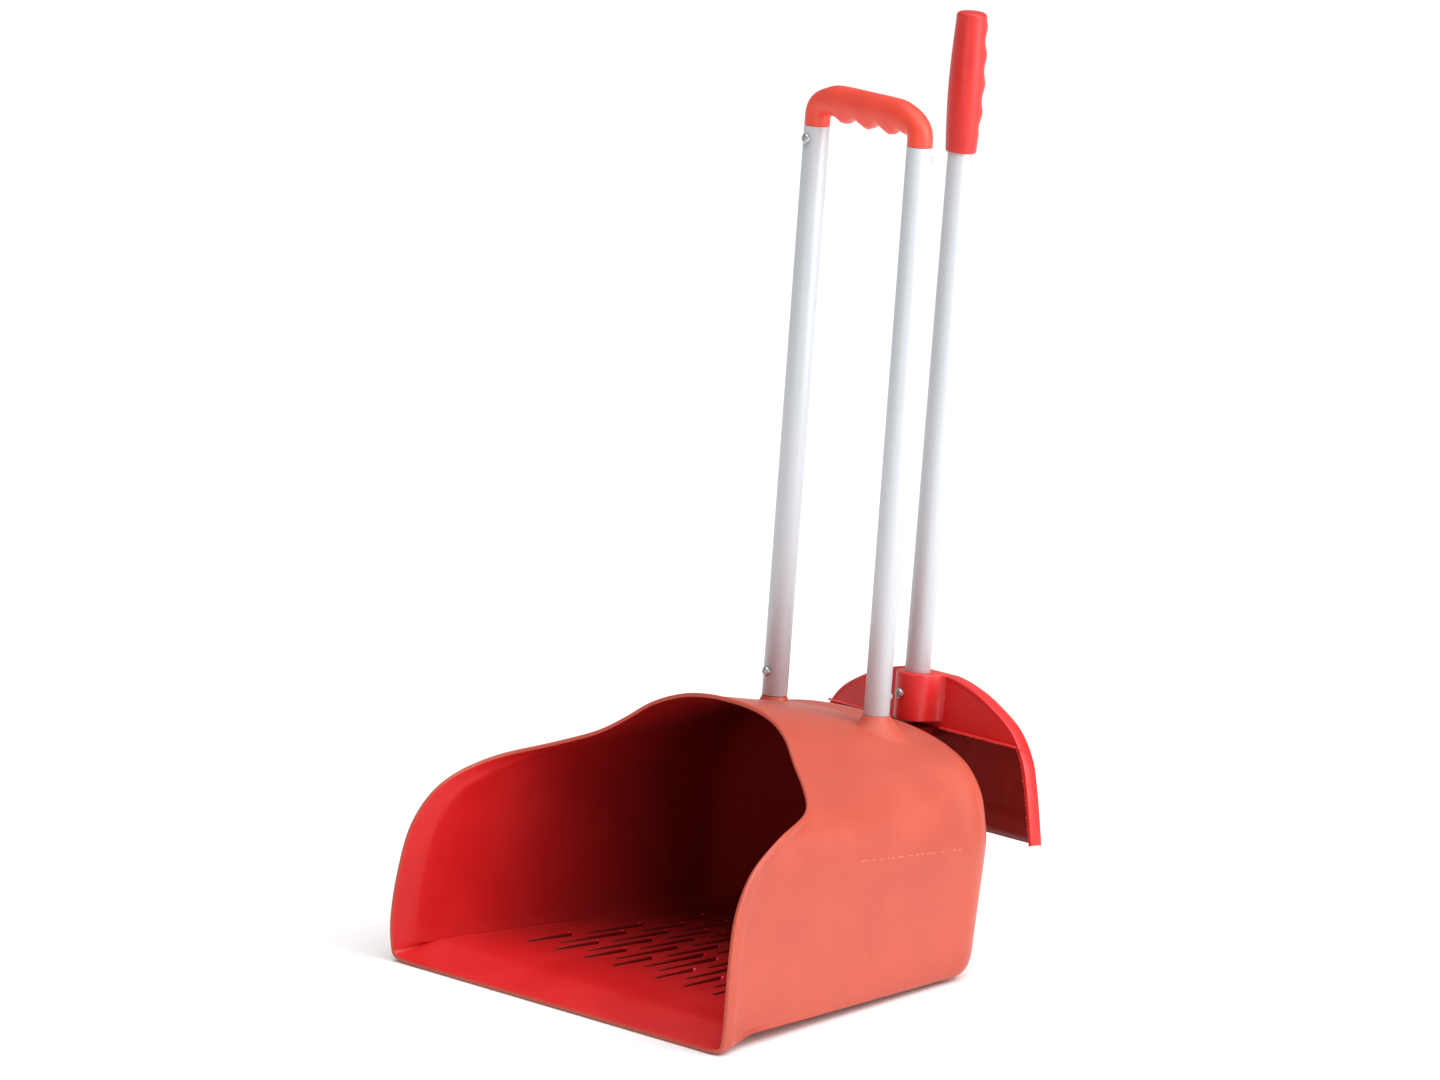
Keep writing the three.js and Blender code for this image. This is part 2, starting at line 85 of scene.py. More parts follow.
# the sides are named as the camera sees them
addLight("softRight", (1.6, 2.0), 47, rightward * 1.9 - forward * 0.9 + Vector((0, 0, 1.1)))
addLight("softFront", (0.8, 0.8), 5, -forward * 2.2 - rightward * 0.6 + Vector((0, 0, 0.5)))
sunData = bpy.data.lights.new("highSoft", "SUN")
sunData.energy = 2.2
sunData.angle = radians(70)
sun = bpy.data.objects.new("highSoft", sunData)
sun.rotation_mode = "QUATERNION"
sun.rotation_quaternion = (forward * 0.12 - rightward * 0.2 - Vector((0, 0, 1))).to_track_quat("-Z", "Y")
scene.collection.objects.link(sun)
world = bpy.data.worlds.new("studio")
scene.world = world
world.use_nodes = True
world.node_tree.nodes["Background"].inputs["Color"].default_value = (1, 1, 1, 1)
world.node_tree.nodes["Background"].inputs["Strength"].default_value = 0.42

floorMesh = bpy.data.meshes.new("floor")
floorBuild = bmesh.new()
bmesh.ops.create_grid(floorBuild, x_segments=1, y_segments=1, size=30)
floorBuild.to_mesh(floorMesh)
floorBuild.free()
floor = bpy.data.objects.new("floor", floorMesh)
floor.location.z = -0.0004
scene.collection.objects.link(floor)
print("camera, lights and floor ready")


def newGroup(name, inputs, outputs):
    group = bpy.data.node_groups.new(name, "ShaderNodeTree")
    for title, kind, value in inputs:
        socket = group.interface.new_socket(title, in_out="INPUT", socket_type=kind)
        if value is not None:
            socket.default_value = value
    for title, kind in outputs:
        group.interface.new_socket(title, in_out="OUTPUT", socket_type=kind)
    return group, group.nodes.new("NodeGroupInput"), group.nodes.new("NodeGroupOutput")


def addNode(tree, kind, **values):
    node = tree.nodes.new(kind)
    for key, value in values.items():
        if hasattr(node, key):
            setattr(node, key, value)
        else:
            node.inputs[key].default_value = value
    return node


def buildMouldedSkin():
    group, start, end = newGroup(
        "mouldedSkin",
        [("Vector", "NodeSocketVector", None), ("Grain Scale", "NodeSocketFloat", 2200.0),
         ("Mottle Scale", "NodeSocketFloat", 26.0), ("Scuff Scale", "NodeSocketFloat", 90.0)],
        [("Grain", "NodeSocketFloat"), ("Mottle", "NodeSocketFloat"), ("Scuff", "NodeSocketFloat")])
    link = group.links.new
    grain = addNode(group, "ShaderNodeTexNoise", Detail=2.0, Roughness=0.6)
    mottle = addNode(group, "ShaderNodeTexNoise", Detail=4.0, Roughness=0.55)
    scuff = addNode(group, "ShaderNodeTexNoise", Detail=6.0, Roughness=0.75, Distortion=0.6)
    edge = addNode(group, "ShaderNodeMapRange")
    edge.inputs["From Min"].default_value = 0.60
    edge.inputs["From Max"].default_value = 0.74
    for node, title in ((grain, "Grain Scale"), (mottle, "Mottle Scale"), (scuff, "Scuff Scale")):
        link(start.outputs["Vector"], node.inputs["Vector"])
        link(start.outputs[title], node.inputs["Scale"])
    link(scuff.outputs["Fac"], edge.inputs["Value"])
    link(grain.outputs["Fac"], end.inputs["Grain"])
    link(mottle.outputs["Fac"], end.inputs["Mottle"])
    link(edge.outputs["Result"], end.inputs["Scuff"])
    return group


mouldedSkin = buildMouldedSkin()


def newMaterial(name):
    material = bpy.data.materials.new(name)
    material.use_nodes = True
    tree = material.node_tree
    shader = tree.nodes["Principled BSDF"]
    return material, tree, shader


def mixColours(tree, factor, first, second):
    mix = tree.nodes.new("ShaderNodeMix")
    mix.data_type = "RGBA"
    for socket, value in ((mix.inputs[6], first), (mix.inputs[7], second)):
        if isinstance(value, tuple):
            socket.default_value = (*value, 1)
        else:
            tree.links.new(value, socket)
    tree.links.new(factor, mix.inputs[0])
    return mix.outputs[2]


def rangeOf(tree, value, low, high, toLow, toHigh):
    node = tree.nodes.new("ShaderNodeMapRange")
    for key, number in (("From Min", low), ("From Max", high), ("To Min", toLow), ("To Max", toHigh)):
        node.inputs[key].default_value = number
    tree.links.new(value, node.inputs["Value"])
    return node.outputs["Result"]


def mouldedPlastic(name, look):
    material, tree, shader = newMaterial(name)
    link = tree.links.new
    coords = tree.nodes.new("ShaderNodeTexCoord")
    skin = tree.nodes.new("ShaderNodeGroup")
    skin.node_tree = mouldedSkin
    skin.inputs["Grain Scale"].default_value = look["grainScale"]
    skin.inputs["Mottle Scale"].default_value = look["mottleScale"]
    skin.inputs["Scuff Scale"].default_value = look["scuffScale"]
    link(coords.outputs["Object"], skin.inputs["Vector"])
    apart = tree.nodes.new("ShaderNodeSeparateXYZ")
    link(coords.outputs["Object"], apart.inputs[0])
    # painted shade: the colour darkens along Y towards the deep inside; the same mask also roughens and
    # dulls the gloss
    paintedShade = rangeOf(tree, apart.outputs["Y"], look["shadeStartY"], look["shadeFullY"], 0, look["paintedShade"])
    body = mixColours(tree, rangeOf(tree, skin.outputs["Mottle"], 0.35, 0.65, 0, 1),
                      look["deep"], look["bright"])
    scuffed = mixColours(tree, rangeOf(tree, skin.outputs["Scuff"], 0, 1, 0, look["scuff"]),
                         body, look["rubbed"])
    link(mixColours(tree, paintedShade, scuffed, look["shadeColour"]), shader.inputs["Base Color"])
    rough = tree.nodes.new("ShaderNodeMath")
    rough.operation = "ADD"
    link(rangeOf(tree, skin.outputs["Mottle"], 0.3, 0.7, look["smooth"], look["rough"]), rough.inputs[0])
    link(rangeOf(tree, paintedShade, 0, 1, 0, 0.5), rough.inputs[1])
    link(rough.outputs[0], shader.inputs["Roughness"])
    link(rangeOf(tree, paintedShade, 0, 1, 0.5, 0.05), shader.inputs["Specular IOR Level"])
    bump = addNode(tree, "ShaderNodeBump", Strength=look["bump"], Distance=0.0002)
    link(skin.outputs["Grain"], bump.inputs["Height"])
    wave = addNode(tree, "ShaderNodeBump", Strength=0.25, Distance=look["wave"])
    link(skin.outputs["Mottle"], wave.inputs["Height"])
    link(wave.outputs["Normal"], bump.inputs["Normal"])
    link(bump.outputs["Normal"], shader.inputs["Normal"])
    shader.inputs["IOR"].default_value = 1.5
    return material


# painted sheen: the outside's pale salmon, with more green and blue than the inside, stands in for strong
# light washing over the same plastic
shellLook = {
    "deep": (0.43, 0.056, 0.028), "bright": (0.49, 0.070, 0.036), "rubbed": (0.56, 0.10, 0.07),
    "grainScale": 1800, "mottleScale": 14, "scuffScale": 60, "scuff": 0.35,
    "smooth": 0.36, "rough": 0.46, "bump": 0.12, "wave": 0.0012,
    "shadeStartY": -0.19, "shadeFullY": 0.0, "paintedShade": 0.0, "shadeColour": (0.10, 0.002, 0.001),
}
insideLook = dict(  # painted shade: the colour darkens further in from the mouth, where the gloss also dulls
    shellLook, deep=(0.60, 0.010, 0.012), bright=(0.66, 0.014, 0.015), rubbed=(0.68, 0.04, 0.035),
    smooth=0.30, rough=0.40, paintedShade=0.92)
headLook = dict(shellLook, deep=(0.58, 0.012, 0.012), bright=(0.64, 0.018, 0.017), smooth=0.28, rough=0.38)
loopLook = dict(shellLook, deep=(0.74, 0.050, 0.024), bright=(0.80, 0.062, 0.030), mottleScale=40,
                smooth=0.34, rough=0.44, wave=0.0006)
pullLook = dict(loopLook, deep=(0.56, 0.016, 0.012), bright=(0.62, 0.022, 0.015))
shellPlastic = mouldedPlastic("shellPlastic", shellLook)
insidePlastic = mouldedPlastic("insidePlastic", insideLook)
scraperPlastic = mouldedPlastic("scraperPlastic", headLook)
loopPlastic = mouldedPlastic("loopPlastic", loopLook)
pullPlastic = mouldedPlastic("pullPlastic", pullLook)
# painted shade: the blade's front is near black to stand in for the shade in the cavity under the panel
bladeShadePlastic = mouldedPlastic("bladeShadePlastic", dict(
    headLook, deep=(0.17, 0.009, 0.007), bright=(0.22, 0.012, 0.010), scuff=0.15))
ridgePlastic = mouldedPlastic("ridgePlastic", dict(
    headLook, deep=(0.82, 0.035, 0.035), bright=(0.90, 0.06, 0.055)))
flashPlastic = mouldedPlastic("flashPlastic", dict(
    shellLook, deep=(0.82, 0.20, 0.15), bright=(0.90, 0.34, 0.26), scuff=0.1))
# painted shade: the ribs are near black to stand in for their shadowed sides
ribShadePlastic = mouldedPlastic("ribShadePlastic", dict(
    shellLook, deep=(0.12, 0.004, 0.003), bright=(0.17, 0.006, 0.004), scuff=0.0))
# painted highlight: the domes at the ribs' rear ends are bright pink to stand in for glints
ribGlintPlastic = mouldedPlastic("ribGlintPlastic", dict(
    shellLook, deep=(0.80, 0.012, 0.06), bright=(0.90, 0.03, 0.10), scuff=0.0))


def satinTube(name):
    look = {"metal": (0.575, 0.60, 0.63), "cloud": (0.53, 0.555, 0.585), "smooth": 0.40, "rough": 0.48}
    material, tree, shader = newMaterial(name)
    link = tree.links.new
    coords = tree.nodes.new("ShaderNodeTexCoord")
    stretch = tree.nodes.new("ShaderNodeMapping")
    stretch.inputs["Scale"].default_value = (900, 900, 9)
    lines = addNode(tree, "ShaderNodeTexNoise", Scale=1.0, Detail=3.0)
    clouds = addNode(tree, "ShaderNodeTexNoise", Scale=18.0, Detail=3.0)
    link(coords.outputs["Object"], stretch.inputs["Vector"])
    link(stretch.outputs["Vector"], lines.inputs["Vector"])
    link(coords.outputs["Object"], clouds.inputs["Vector"])
    link(mixColours(tree, clouds.outputs["Fac"], look["cloud"], look["metal"]), shader.inputs["Base Color"])
    link(rangeOf(tree, lines.outputs["Fac"], 0.3, 0.7, look["smooth"], look["rough"]),
         shader.inputs["Roughness"])
    bump = addNode(tree, "ShaderNodeBump", Strength=0.08, Distance=0.0001)
    link(lines.outputs["Fac"], bump.inputs["Height"])
    link(bump.outputs["Normal"], shader.inputs["Normal"])
    shader.inputs["Metallic"].default_value = 0.15
    return material


def platedSteel(name):
    material, tree, shader = newMaterial(name)
    coords = tree.nodes.new("ShaderNodeTexCoord")
    spots = addNode(tree, "ShaderNodeTexNoise", Scale=900.0, Detail=2.0)
    tree.links.new(coords.outputs["Object"], spots.inputs["Vector"])
    tree.links.new(mixColours(tree, spots.outputs["Fac"], (0.42, 0.42, 0.43), (0.66, 0.66, 0.67)),
                   shader.inputs["Base Color"])
    tree.links.new(rangeOf(tree, spots.outputs["Fac"], 0.3, 0.7, 0.22, 0.38), shader.inputs["Roughness"])
    shader.inputs["Metallic"].default_value = 1.0
    return material


def paleFloor(name):
    material, tree, shader = newMaterial(name)
    coords = tree.nodes.new("ShaderNodeTexCoord")
    tone = addNode(tree, "ShaderNodeTexNoise", Scale=0.6, Detail=1.0)
    tree.links.new(coords.outputs["Object"], tone.inputs["Vector"])
    tree.links.new(mixColours(tree, tone.outputs["Fac"], (0.93, 0.93, 0.93), (0.95, 0.95, 0.95)),
                   shader.inputs["Base Color"])
    shader.inputs["Roughness"].default_value = 0.9
    return material


tubeMetal = satinTube("tubeMetal")
screwMetal = platedSteel("screwMetal")
floorMesh.materials.append(paleFloor("paleFloor"))
print("materials ready")


def addRow(bm, points, closed=False):
    verts = [bm.verts.new(p) for p in points]
    pairs = list(zip(verts, verts[1:])) + ([(verts[-1], verts[0])] if closed else [])
    return verts, [bm.edges.new(pair) for pair in pairs]


def loftRows(bm, rows, closed=False):
    made = [addRow(bm, row, closed) for row in rows]
    for (_, first), (_, second) in zip(made, made[1:]):
        bmesh.ops.bridge_loops(bm, edges=first + second)
    return made


def finishPiece(bm, name, body, material, subdivisions=0, bevel=0, replaces=(), outward=True):
    if outward:
        bmesh.ops.recalc_face_normals(bm, faces=bm.faces)
    mesh = bpy.data.meshes.new(name)
    bm.to_mesh(mesh)
    bm.free()
    mesh.materials.append(material)
    mesh.shade_smooth()
    piece = bpy.data.objects.new(name, mesh)
    scene.collection.objects.link(piece)
    if bevel:
        rounding = piece.modifiers.new("rounding", "BEVEL")
        rounding.width = bevel * mm
        rounding.segments = 3
        rounding.limit_method = "ANGLE"
        rounding.angle_limit = radians(35)
        rounding.harden_normals = False
    if subdivisions:
        smooth = piece.modifiers.new("smooth", "SUBSURF")
        smooth.levels = smooth.render_levels = subdivisions
    if replaces:
        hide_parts(*replaces)
    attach(piece, body)
    return piece


def smoothCurve(points, share):
    spot = 1 + min(max(share, -0.05), 1.05) * (len(points) - 3)
    i = min(max(int(spot), 1), len(points) - 3)
    part = spot - i
    a, b, c, d = points[i - 1:i + 3]
    ta, tb, tc = (max((q - p).length, 1e-6) ** 0.5 for p, q in ((a, b), (b, c), (c, d)))
    leave = ((b - a) / ta - (c - a) / (ta + tb) + (c - b) / tb) * tb
    arrive = ((c - b) / tb - (d - b) / (tb + tc) + (d - c) / tc) * tb
    square, cube = part * part, part ** 3
    return (b + leave * part + (3 * (c - b) - 2 * leave - arrive) * square
            + (2 * (b - c) + leave + arrive) * cube)


def easeStep(value, low, high):
    share = min(max((value - low) / (high - low), 0), 1)
    return share * share * (3 - 2 * share)


shell = {  # mm, from the middle of the lip
    "halfMouth": 194.5, "crownHeight": 215, "crownSetback": 178, "halfBody": 155, "bodyHeight": 185,
    "bodyDepth": 270, "backDepth": 54, "backLean": 0.16, "wall": 3, "lipDepth": 12, "lipFlare": 7,
    "rampDepth": 40, "cheekRampDepth": 20, "heelRise": 1.3, "poleShare": 0.48, "columns": 60,
    "flareRest": 1.5, "stepShort": 2, "rampTail": 8,
}
mouthWide, bodyWide = shell["halfMouth"], shell["halfBody"]
crown, hood, lift = shell["crownHeight"], shell["bodyHeight"], shell["heelRise"]
poleHeight = hood * shell["poleShare"]
# [x, share of the crown's setback, height] round the mouth and [x, height] at the rear
mouthOutline = [(0, 0, 0), (mouthWide - 36, 0, 0), (mouthWide - 13, 0, 0.7), (mouthWide - 3.5, 0.002, 3.7),
                (mouthWide, 0.005, 13)] + [(x, back, z * crown) for x, back, z in (
    (mouthWide + 1.5, 0.011, 0.151), (mouthWide - 0.5, 0.042, 0.321), (mouthWide - 5, 0.107, 0.505),
    (mouthWide - 12, 0.236, 0.634), (mouthWide * 0.87, 0.449, 0.712), (mouthWide * 0.755, 0.713, 0.752),
    (mouthWide * 0.615, 0.837, 0.802), (mouthWide * 0.505, 0.893, 0.863), (mouthWide * 0.405, 0.944, 0.927),
    (mouthWide * 0.27, 0.986, 0.974), (mouthWide * 0.13, 1, 0.995), (0, 1, 1))]
rearOutline = [(0, lift), (bodyWide - 36, lift), (bodyWide - 14, lift + 0.4), (bodyWide - 5.5, lift + 3.3),
               (bodyWide - 2, lift + 11)] + [(x, z * hood) for x, z in (
    (bodyWide - 1.5, 0.162), (bodyWide - 0.8, 0.335), (bodyWide, 0.486), (bodyWide - 0.5, 0.584),
    (bodyWide * 0.972, 0.663), (bodyWide * 0.915, 0.779), (bodyWide * 0.8, 0.879),
    (bodyWide * 0.655, 0.934), (bodyWide * 0.515, 0.966), (bodyWide * 0.35, 0.987),
    (bodyWide * 0.17, 0.997), (0, 1))]


def withMirroredEnds(points):
    first, last = points[1].copy(), points[-2].copy()
    first.x, last.x = -first.x, -last.x
    return [first, *points, last]


mouthCurve = withMirroredEnds([Vector((x, back * shell["crownSetback"], z)) for x, back, z in mouthOutline])
rearCurve = withMirroredEnds([Vector((x, 0, z)) for x, z in rearOutline])


def outward(curve, s):
    ahead, behind = smoothCurve(curve, s + 1e-3), smoothCurve(curve, s - 1e-3)
    return Vector((ahead.z - behind.z, 0, behind.x - ahead.x)).normalized()


def bandShare(s):  # the band round the mouth fades out up the hood
    return 1 - 0.85 * easeStep(s, 0.5, 0.68)


def lipPoint(s, back, inward):
    point = smoothCurve(mouthCurve, s) - outward(mouthCurve, s) * inward
    point.y += back
    return point


def rearPoint(s, inward):
    point = smoothCurve(rearCurve, s) - outward(rearCurve, s) * inward
    point.y = shell["bodyDepth"] + shell["backLean"] * point.z
    return point


def backPoint(s, share, inward):
    across = max(cos(share * pi / 2), 0) ** (2 / 3)
    along = sin(share * pi / 2) ** (2 / 3)
    rear = rearPoint(s, inward)
    z = poleHeight + (rear.z - poleHeight) * across
    depth = (shell["backDepth"] - inward) * along
    return Vector((rear.x * across, shell["bodyDepth"] + shell["backLean"] * z + depth, z))


def rampReach(s):  # long on the floor, short on the cheeks
    cheek = easeStep(s, 0.14, 0.26)
    return shell["rampDepth"] + (shell["cheekRampDepth"] - shell["rampDepth"]) * cheek


def outerStart(s):
    band = bandShare(s)
    flare = shell["lipFlare"] + shell["flareRest"]
    return lipPoint(s, (rampReach(s) - shell["stepShort"]) * band, flare * band)


def innerStart(s):
    band = bandShare(s)
    flare, tail = shell["lipFlare"] + shell["flareRest"], shell["rampTail"]
    return lipPoint(s, (rampReach(s) - tail) * band + tail, shell["wall"] + flare * band)


def stepPoint(s, share, inward):
    start, end = shell["lipDepth"], rampReach(s) - shell["stepShort"]
    return lipPoint(s, (start + (end - start) * share) * bandShare(s), inward * bandShare(s))


def rimInner(s):
    return lipPoint(s, 0.3, shell["wall"] + 0.2)


bodySteps = (0.04, 0.12, 0.24, 0.38, 0.52, 0.66, 0.8, 0.92)
innerSteps = (0.03, 0.1, 0.22, 0.36, 0.5, 0.64, 0.78, 0.9)
rampSteps = (0.06, 0.3, 0.6, 0.85)
backSteps = (0, 0.02, 0.06, 0.12, 0.2, 0.3, 0.4, 0.5, 0.62, 0.74, 0.86, 0.95)


def shellRows():
    wall, flare = shell["wall"], shell["lipFlare"]
    outside = [lambda s, t=t: backPoint(s, t, 0) for t in backSteps[::-1]]
    outside += [lambda s, t=t: outerStart(s).lerp(rearPoint(s, 0), t) for t in bodySteps[::-1]]
    outside += [  # the step behind the band, then the band and the rounded rim
        outerStart,
        lambda s: stepPoint(s, 0.7, flare * 0.95),
        lambda s: stepPoint(s, 0.3, flare * 0.55),
        lambda s: stepPoint(s, -0.02, 1.2),
        lambda s: lipPoint(s, shell["lipDepth"] * 0.8 * bandShare(s), 0.5 * bandShare(s)),
        lambda s: lipPoint(s, 2.2, 0),
        lambda s: lipPoint(s, 0.7, 0.1),
        lambda s: lipPoint(s, 0, 0.8),
        lambda s: lipPoint(s, 0, wall - 0.7),
    ]
    inside = [rimInner]
    inside += [lambda s, t=t: rimInner(s).lerp(innerStart(s), t) for t in rampSteps]
    inside += [innerStart]
    inside += [lambda s, t=t: innerStart(s).lerp(rearPoint(s, wall), t) for t in innerSteps]
    inside += [lambda s, t=t: backPoint(s, t, wall) for t in backSteps]
    return outside, inside


def buildShell():
    bm = bmesh.new()
    count = shell["columns"]
    outside, inside = shellRows()
    rows = [[place(*row(i / count)) for i in range(count + 1)] for row in outside + inside]
    for row in rows:
        row[0].x = row[-1].x = 0
    made = loftRows(bm, rows)
    redder = {vert for verts, _ in made[len(outside):] for vert in verts}
    for (verts, _), inward in ((made[0], 0), (made[-1], shell["wall"])):
        tip = place(*backPoint(0.5, 1, inward))
        tip.x = 0
        pole = bm.verts.new(tip)
        if inward:
            redder.add(pole)
        for a, b in zip(verts, verts[1:]):
            bm.faces.new((a, b, pole))
    for face in bm.faces:
        face.material_index = int(all(vert in redder for vert in face.verts))
    bmesh.ops.mirror(bm, geom=bm.verts[:] + bm.edges[:] + bm.faces[:], axis="X", merge_dist=1e-6)
    bmesh.ops.remove_doubles(bm, verts=bm.verts, dist=1e-6)
    piece = finishPiece(bm, "shell_moulding", "scoop", shellPlastic, subdivisions=1,
                        replaces=["scoop_shell"])
    piece.data.materials.append(insidePlastic)


buildShell()
print("shell moulded")


ribs = {
    "width": 1.6, "height": 1.8, "pitch": 16.6, "middle": -11, "columns": 8, "gap": 0.052, "fan": 0.001,
    "starts": (0.404, 0.341), "lengths": ((0.226, 0.152, 0.148), (0.148, 0.193, 0.163)), "dome": 2.1,
}


def floorHeight(y):
    start, end = innerStart(0), rearPoint(0, shell["wall"])
    return start.z + (end.z - start.z) * (y - start.y) / (end.y - start.y)


def buildRibs():
    bars, domes = bmesh.new(), bmesh.new()
    depth = shell["bodyDepth"]
    for column in range(ribs["columns"] * 2):
        side = -1 if column < ribs["columns"] else 1
        number = column % ribs["columns"]
        startX = ribs["middle"] + side * ribs["pitch"] * (number + 0.5)
        start = ribs["starts"][number % 2]
        for share in ribs["lengths"][number % 2]:
            y, length = (start + share / 2) * depth, share * depth
            x = startX * (1 - ribs["fan"] * (y - ribs["starts"][1] * depth))
            start += share + ribs["gap"]
            if abs(x) > shell["halfBody"] - 12:
                continue
            turned = Matrix.Rotation(ribs["fan"] * x, 4, "Z")
            size = Matrix.Diagonal((ribs["width"] * mm, length * mm, (ribs["height"] + 1) * mm, 1))
            spot = place(x, y, floorHeight(y) + (ribs["height"] - 1) / 2)
            bmesh.ops.create_cube(bars, size=1, matrix=Matrix.Translation(spot) @ turned @ size)
            rear = y + length / 2
            bmesh.ops.create_uvsphere(
                domes, u_segments=10, v_segments=6, radius=ribs["dome"] * mm,
                matrix=Matrix.Translation(place(x, rear, floorHeight(rear) + 0.5)))
    finishPiece(bars, "floor_ribs", "scoop", ribShadePlastic, bevel=0.5)
    finishPiece(domes, "rib_ends", "scoop", ribGlintPlastic)


buildRibs()
print("floor ribs set")


tubes = {  # mm and degrees
    "radius": 10, "wall": 1.2, "spacing": 117, "exposed": 448, "footY": 280, "footZ": 190.96, "lean": 5.6,
    "spigot": 34, "spigotTaper": 2, "collarSink": 1.6, "scraperFootY": 377.5, "scraperFootZ": 204,
    "scraperLean": 6.1, "scraperExposed": 410, "socketDepth": 32, "insideGrip": 90, "edge": 0.3,
    "segments": 72,
}
fit = 0.3  # mm between separate pieces
spigotRadius = tubes["radius"] - tubes["wall"] - fit


def leaning(x, y, z, degrees):
    return Matrix.Translation(place(x, y, z)) @ Matrix.Rotation(-radians(degrees), 4, "X")


def hoodHeight(x, y):  # of the hood's outside, in metres
    wide, narrow = 0.6, 1
    for _ in range(24):
        s = (wide + narrow) / 2
        start, end = place(*outerStart(s)), place(*rearPoint(s, 0))
        spot = start.lerp(end, (y - start.y) / (end.y - start.y))
        if spot.x > x:
            wide = s
        else:
            narrow = s
    return spot.z


def handleFrame(side):
    return leaning(side * tubes["spacing"] / 2, tubes["footY"], tubes["footZ"], tubes["lean"])


scraperFrame = leaning(0, tubes["scraperFootY"], tubes["scraperFootZ"], tubes["scraperLean"])


def spinProfile(bm, profile, frameMatrix, closed=False, segments=None):
    verts, edges = addRow(bm, [Vector((r * mm, 0, z * mm)) for r, z in profile], closed)
    bmesh.ops.spin(bm, geom=verts + edges, cent=(0, 0, 0), axis=(0, 0, 1), angle=2 * pi,
                   steps=segments or tubes["segments"], use_merge=True)
    bmesh.ops.remove_doubles(bm, verts=bm.verts, dist=1e-6)
    bmesh.ops.transform(bm, matrix=frameMatrix, verts=bm.verts)


def buildTube(name, node, length, frameMatrix, body):
    bm = bmesh.new()
    out, edge = tubes["radius"], tubes["edge"]
    inside = out - tubes["wall"]
    spinProfile(bm, [(inside, edge), (inside + edge, 0), (out - edge, 0), (out, edge), (out, length * 0.5),
                     (out, length - edge), (out - edge, length), (inside + edge, length),
                     (inside, length - edge), (inside, length * 0.5)], frameMatrix, closed=True)
    finishPiece(bm, name, body, tubeMetal, replaces=[node])


def joinMesh(bm, other):
    mesh = bpy.data.meshes.new("part")
    other.to_mesh(mesh)
    other.free()
    bm.from_mesh(mesh)
    bpy.data.meshes.remove(mesh)


def buildCollars():
    out, long, taper = tubes["radius"], tubes["spigot"], tubes["spigotTaper"]
    inside = [(spigotRadius, -fit), (spigotRadius, long - taper), (spigotRadius - taper, long), (0, long)]
    clear = [  # the left collar stands clear on a small flare
        (0, -18), (out + 4.5, -18), (out + 3.6, -9), (out + 2.6, -6.2), (out + 1.5, -4.4),
        (out + 0.8, -2.8), (out + 0.2, -1.4), (out - 0.2, -0.6), (out - 1, -0.35)]
    blended = [  # the right one runs out into the hood
        (0, -22), (out + 21, -22), (out + 19, -12), (out + 13, -7.6), (out + 8.5, -4), (out + 5.4, -1),
        (out + 3.2, 1.4), (out + 1.8, 3.2), (out + 0.9, 4.6), (out + 0.4, 5.2), (out + 0.15, 5.0),
        (out + 0.15, -fit)]
    bm = bmesh.new()
    for side, profile in ((-1, clear), (1, blended)):
        one = bmesh.new()
        spinProfile(one, profile + inside, handleFrame(side))
        for vert in one.verts:  # what would show under the hood ends inside its wall
            lowest = hoodHeight(abs(vert.co.x), vert.co.y) - tubes["collarSink"] * mm
            vert.co.z = max(vert.co.z, lowest)
        joinMesh(bm, one)
    finishPiece(bm, "tube_collars", "scoop", shellPlastic)


buildTube("handle_tube_left", "left_tube", tubes["exposed"], handleFrame(-1), "scoop")
buildTube("handle_tube_right", "right_tube", tubes["exposed"], handleFrame(1), "scoop")
scraperTubeFoot = scraperFrame @ Matrix.Translation((0, 0, (fit - tubes["socketDepth"]) * mm))
scraperTubeLength = tubes["socketDepth"] - fit + tubes["scraperExposed"] + tubes["insideGrip"]
buildTube("scraper_pole", "scraper_tube", scraperTubeLength, scraperTubeFoot, "scraper")
buildCollars()
for nodeName in ("left_lower_screw", "left_upper_screw", "right_lower_screw", "right_upper_screw",
                 "scraper_screw"):
    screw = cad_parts[nodeName]
    screw.data.materials.clear()
    screw.data.materials.append(screwMetal)
print("tubes, collars and screws fitted")


grip = {
    "rise": 19.5, "barHeight": 32, "barDepth": 22, "pitch": 26, "bump": 5.4, "corner": 19,
    "rings": 84, "around": 28,
}


